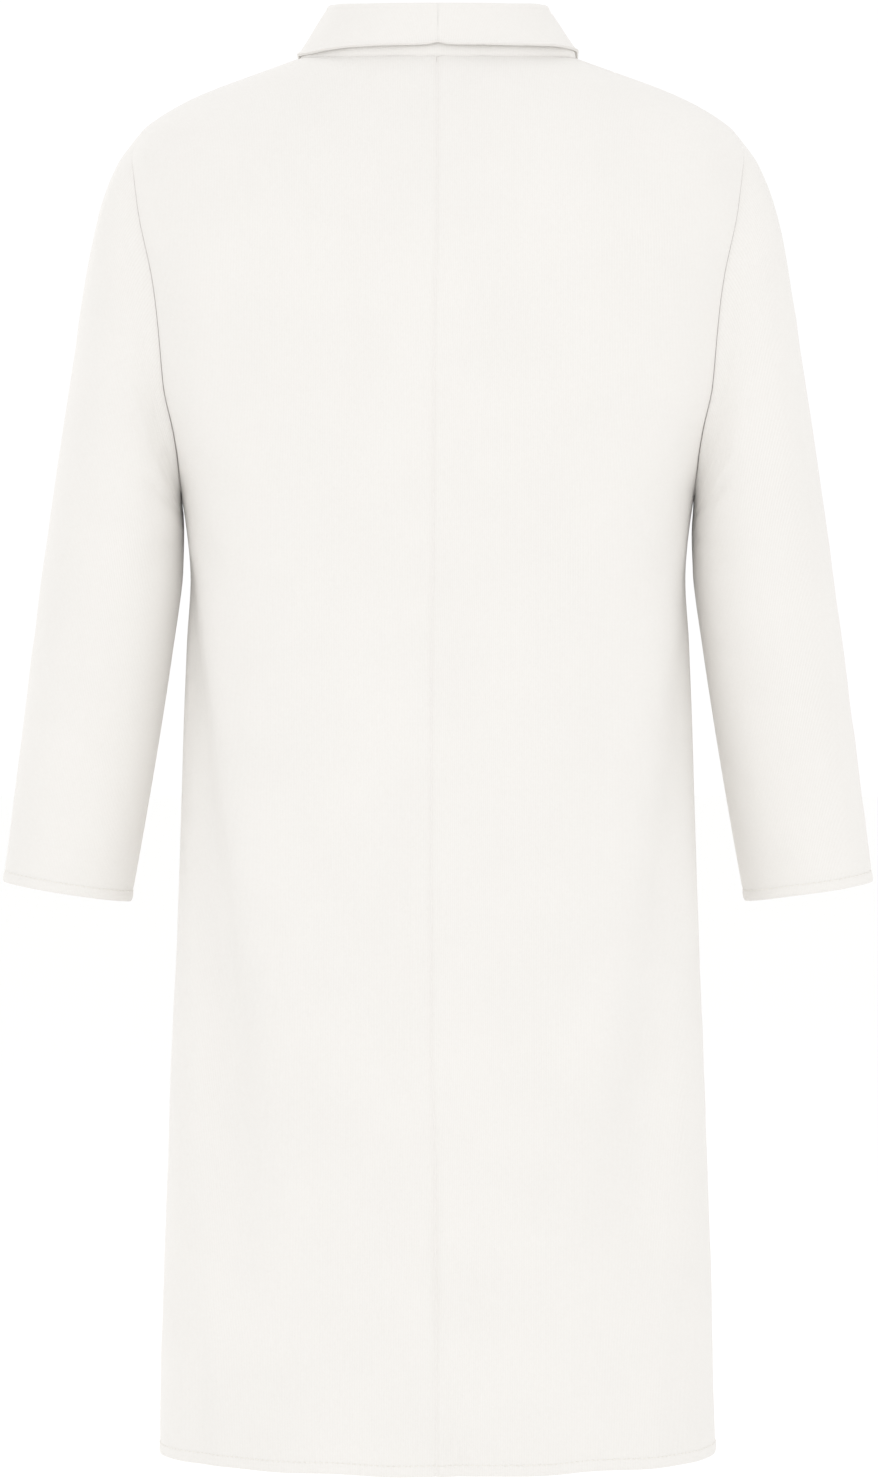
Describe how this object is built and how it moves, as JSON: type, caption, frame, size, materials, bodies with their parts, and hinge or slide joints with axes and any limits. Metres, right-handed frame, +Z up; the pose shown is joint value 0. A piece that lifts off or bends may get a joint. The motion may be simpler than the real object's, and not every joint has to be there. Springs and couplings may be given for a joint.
{
  "type": "open front cardigan",
  "caption": "Coat-length open front cardigan in off-white knit, filled out and hollow, with turned-down collar, long set-in sleeves and a seam down the back.",
  "frame": {"origin": "middle of the neck opening, level with the necks of the shoulder seams, where a wearer's shoulders hold the garment up", "axes": "+Z up along the back seam, -Y towards the open front, +X towards the wearer's left sleeve"},
  "size_m": [0.665, 0.272, 1.0975],
  "materials": {
    "back_left_knit": "fine dense off-white wool-blend knit, matt",
    "back_right_knit": "fine dense off-white wool-blend knit, matt",
    "front_left_knit": "fine dense off-white wool-blend knit, matt",
    "front_right_knit": "fine dense off-white wool-blend knit, matt",
    "sleeve_left_knit": "fine dense off-white wool-blend knit, matt",
    "sleeve_right_knit": "fine dense off-white wool-blend knit, matt",
    "collar_left_knit": "fine dense off-white wool-blend knit, matt",
    "collar_right_knit": "fine dense off-white wool-blend knit, matt"
  },
  "bodies": {
    "root": {"back_left": "back_left_knit", "back_right": "back_right_knit", "front_left": "front_left_knit", "front_right": "front_right_knit", "sleeve_left": "sleeve_left_knit", "sleeve_right": "sleeve_right_knit", "collar_left": "collar_left_knit", "collar_right": "collar_right_knit"}
  },
  "joints": []
}
